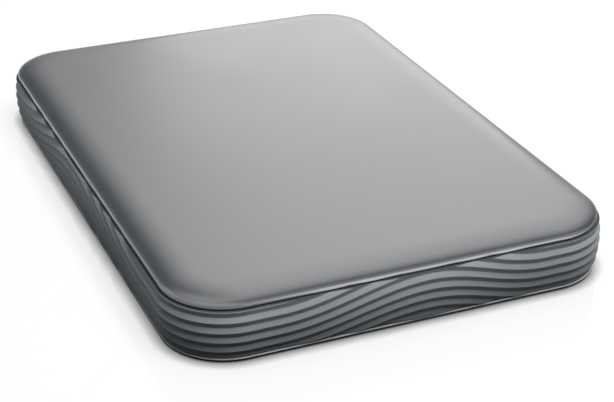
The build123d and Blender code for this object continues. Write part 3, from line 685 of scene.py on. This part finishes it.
def make_floor_paper():
    """Pale paper: partly lit, partly glowing for the eye and for gloss, with a painted shadow beside
    the case laid over the real shadow that falls on its lit share.
    """
    material, surface = new_material("pale floor")
    tree = material.node_tree
    place = tree.nodes.new("ShaderNodeTexCoord").outputs["Object"]
    path = tree.nodes.new("ShaderNodeLightPath")
    by_eye = path.outputs["Is Camera Ray"]
    seen = math_node(tree, "MAXIMUM", by_eye, path.outputs["Is Glossy Ray"])
    # Painted shadow beside the case: a close dark contact and a faint wider tail, on colour and glow.
    contact = painted_contact_shadow(tree, CONTACT_REACH, CONTACT_DEPTH)
    shade = math_node(tree, "MULTIPLY", contact, painted_contact_shadow(tree, TAIL_REACH, TAIL_DEPTH))
    tone_low, tone_high = PAPER_TONES
    blotches = noise_node(tree, place, scale=30.0, detail=3.0)
    bounce = tree.nodes.new("ShaderNodeMix")
    bounce.inputs["A"].default_value = FLOOR_BOUNCE
    tree.links.new(seen, bounce.inputs["Factor"])
    tree.links.new(ramp_node(tree, blotches, (0.0, tone_low), (1.0, tone_high)), bounce.inputs["B"])
    lit = math_node(tree, "MULTIPLY", bounce.outputs["Result"], 1.0 - FLOOR_GLOW)
    tree.links.new(math_node(tree, "MULTIPLY", lit, shade), surface.inputs["Base Color"])
    glow = math_node(tree, "MULTIPLY", seen, shade)
    level = math_node(tree, "MAXIMUM", mirrored_floor(tree, place), by_eye)
    tree.links.new(math_node(tree, "MULTIPLY", glow, level), surface.inputs["Emission Color"])
    surface.inputs["Emission Strength"].default_value = FLOOR_GLOW
    surface.inputs["Roughness"].default_value = FLOOR_ROUGHNESS
    surface.inputs["Specular IOR Level"].default_value = FLOOR_SPECULAR
    return material


def make_floor():
    """A wide pale floor just under the case."""
    low = (-FLOOR_REACH, -FLOOR_REACH, FLOOR_BOTTOM)
    high = (FLOOR_REACH, FLOOR_REACH, FLOOR_TOP)
    floor = block("floor", low, high)
    floor.data.materials.append(make_floor_paper())


def rise_towards(tree, towards, start, end):
    """A share that rises softly from 0 to 1 as a direction leans one way."""
    lean = tree.nodes.new("ShaderNodeVectorMath")
    lean.operation = "DOT_PRODUCT"
    lean.inputs[1].default_value = towards
    tree.links.new(tree.nodes.new("ShaderNodeTexCoord").outputs["Generated"], lean.inputs[0])
    return ramp_node(tree, lean.outputs["Value"], (start, 0.0), (end, 1.0), "SMOOTHSTEP")


def light_by_direction(tree, around, patches):
    """Patches of light, each laid over those before it, on one even colour around them."""
    light = (*around, 1.0)
    for name, (colour, leans) in patches.items():
        share = rise_towards(tree, *leans[0])
        for lean in leans[1:]:
            share = math_node(tree, "MULTIPLY", share, rise_towards(tree, *lean))
        light = colour_mix(tree, share, light, (*colour, 1.0))
        light.node.label = name
    return light


def make_room():
    """The room's light: soft on the case, in patches for gloss, and plain white to the eye."""
    world = bpy.data.worlds.new("studio")
    bpy.context.scene.world = world
    world.use_nodes = True
    tree = world.node_tree
    tree.nodes.clear()
    path = tree.nodes.new("ShaderNodeLightPath")
    soft_light = light_by_direction(tree, SOFT_AROUND, SOFT_PATCHES)
    gloss_light = light_by_direction(tree, GLOSS_AROUND, GLOSS_PATCHES)
    on_case = colour_mix(tree, path.outputs["Is Glossy Ray"], soft_light, gloss_light)
    seen = colour_mix(tree, path.outputs["Is Camera Ray"], on_case, WHITE)
    light = tree.nodes.new("ShaderNodeBackground")
    tree.links.new(seen, light.inputs["Color"])
    output = tree.nodes.new("ShaderNodeOutputWorld")
    tree.links.new(light.outputs[0], output.inputs["Surface"])


def make_lamp(name, place, aim, size, power, mirrored):
    """A soft lamp that looks at a point, in metres and watts. Only a mirrored one shows in gloss."""
    data = bpy.data.lights.new(name, "AREA")
    data.shape = "RECTANGLE"
    data.size, data.size_y = size
    data.energy = power
    lamp = bpy.data.objects.new(name, data)
    bpy.context.scene.collection.objects.link(lamp)
    lamp.location = place
    lamp.rotation_mode = "QUATERNION"
    lamp.rotation_quaternion = (Vector(aim) - Vector(place)).to_track_quat("-Z", "Y")
    lamp.visible_glossy = mirrored


def make_lamps():
    """A high lamp in front, and two small ones low at the left and low at the back."""
    make_lamp(
        "high softbox",
        place=(0.3, -0.53, 1.31),
        aim=(0.0, 0.0, 0.0),
        size=(0.9, 0.9),
        power=20.0,
        mirrored=False,
    )
    make_lamp(
        "left softbox",
        place=(-0.18, 0.2, 0.085),
        aim=(-0.04, 0.03, 0.005),
        size=(0.12, 0.12),
        power=0.075,
        mirrored=False,
    )
    make_lamp(
        "back softbox",
        place=(0.203, 0.38, 0.116),
        aim=(0.02, 0.03, 0.01),
        size=(0.22, 0.14),
        power=0.066,
        mirrored=True,
    )


def make_camera():
    """The camera where the photo was taken from."""
    azimuth = math.radians(CAMERA_AZIMUTH)
    elevation = math.radians(CAMERA_ELEVATION)
    roll = math.radians(CAMERA_ROLL)
    back_x = math.sin(azimuth) * math.cos(elevation)
    back_y = -math.cos(azimuth) * math.cos(elevation)
    back = Vector((back_x, back_y, math.sin(elevation)))
    level = Vector((0, 0, 1)).cross(back).normalized()
    rise = back.cross(level)
    right = math.cos(roll) * level + math.sin(roll) * rise
    up = -math.sin(roll) * level + math.cos(roll) * rise
    data = bpy.data.cameras.new("camera")
    data.sensor_width = SENSOR_WIDTH
    data.lens = FOCAL_PIXELS * SENSOR_WIDTH / PHOTO_WIDTH_PIXELS
    data.clip_start = CLIP_START * MM
    data.clip_end = CLIP_END * MM
    camera = bpy.data.objects.new("camera", data)
    bpy.context.scene.collection.objects.link(camera)
    turn = Matrix((right, up, back)).transposed().to_4x4()
    place = back * CAMERA_DISTANCE - right * CASE_RIGHT_OF_AXIS - up * CASE_ABOVE_AXIS
    camera.matrix_world = Matrix.Translation(place * MM) @ turn
    bpy.context.scene.camera = camera


materials = make_materials()
slots = {part["node"]: part["material_slot"] for part in frame["record"]["subparts"]}
for node, cad in frame["nodes"].items():
    dress(cad, slots[node], materials)

cover = make_cover()
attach(cover, "enclosure")
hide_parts("top_cover")
dress(cover, "cover_paint", materials)

band = make_side_band()
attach(band, "enclosure")
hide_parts("base_tray")
dress(band, "band_plastic", materials)

make_floor()
make_room()
make_lamps()
make_camera()
bpy.context.scene.view_settings.view_transform = "Standard"
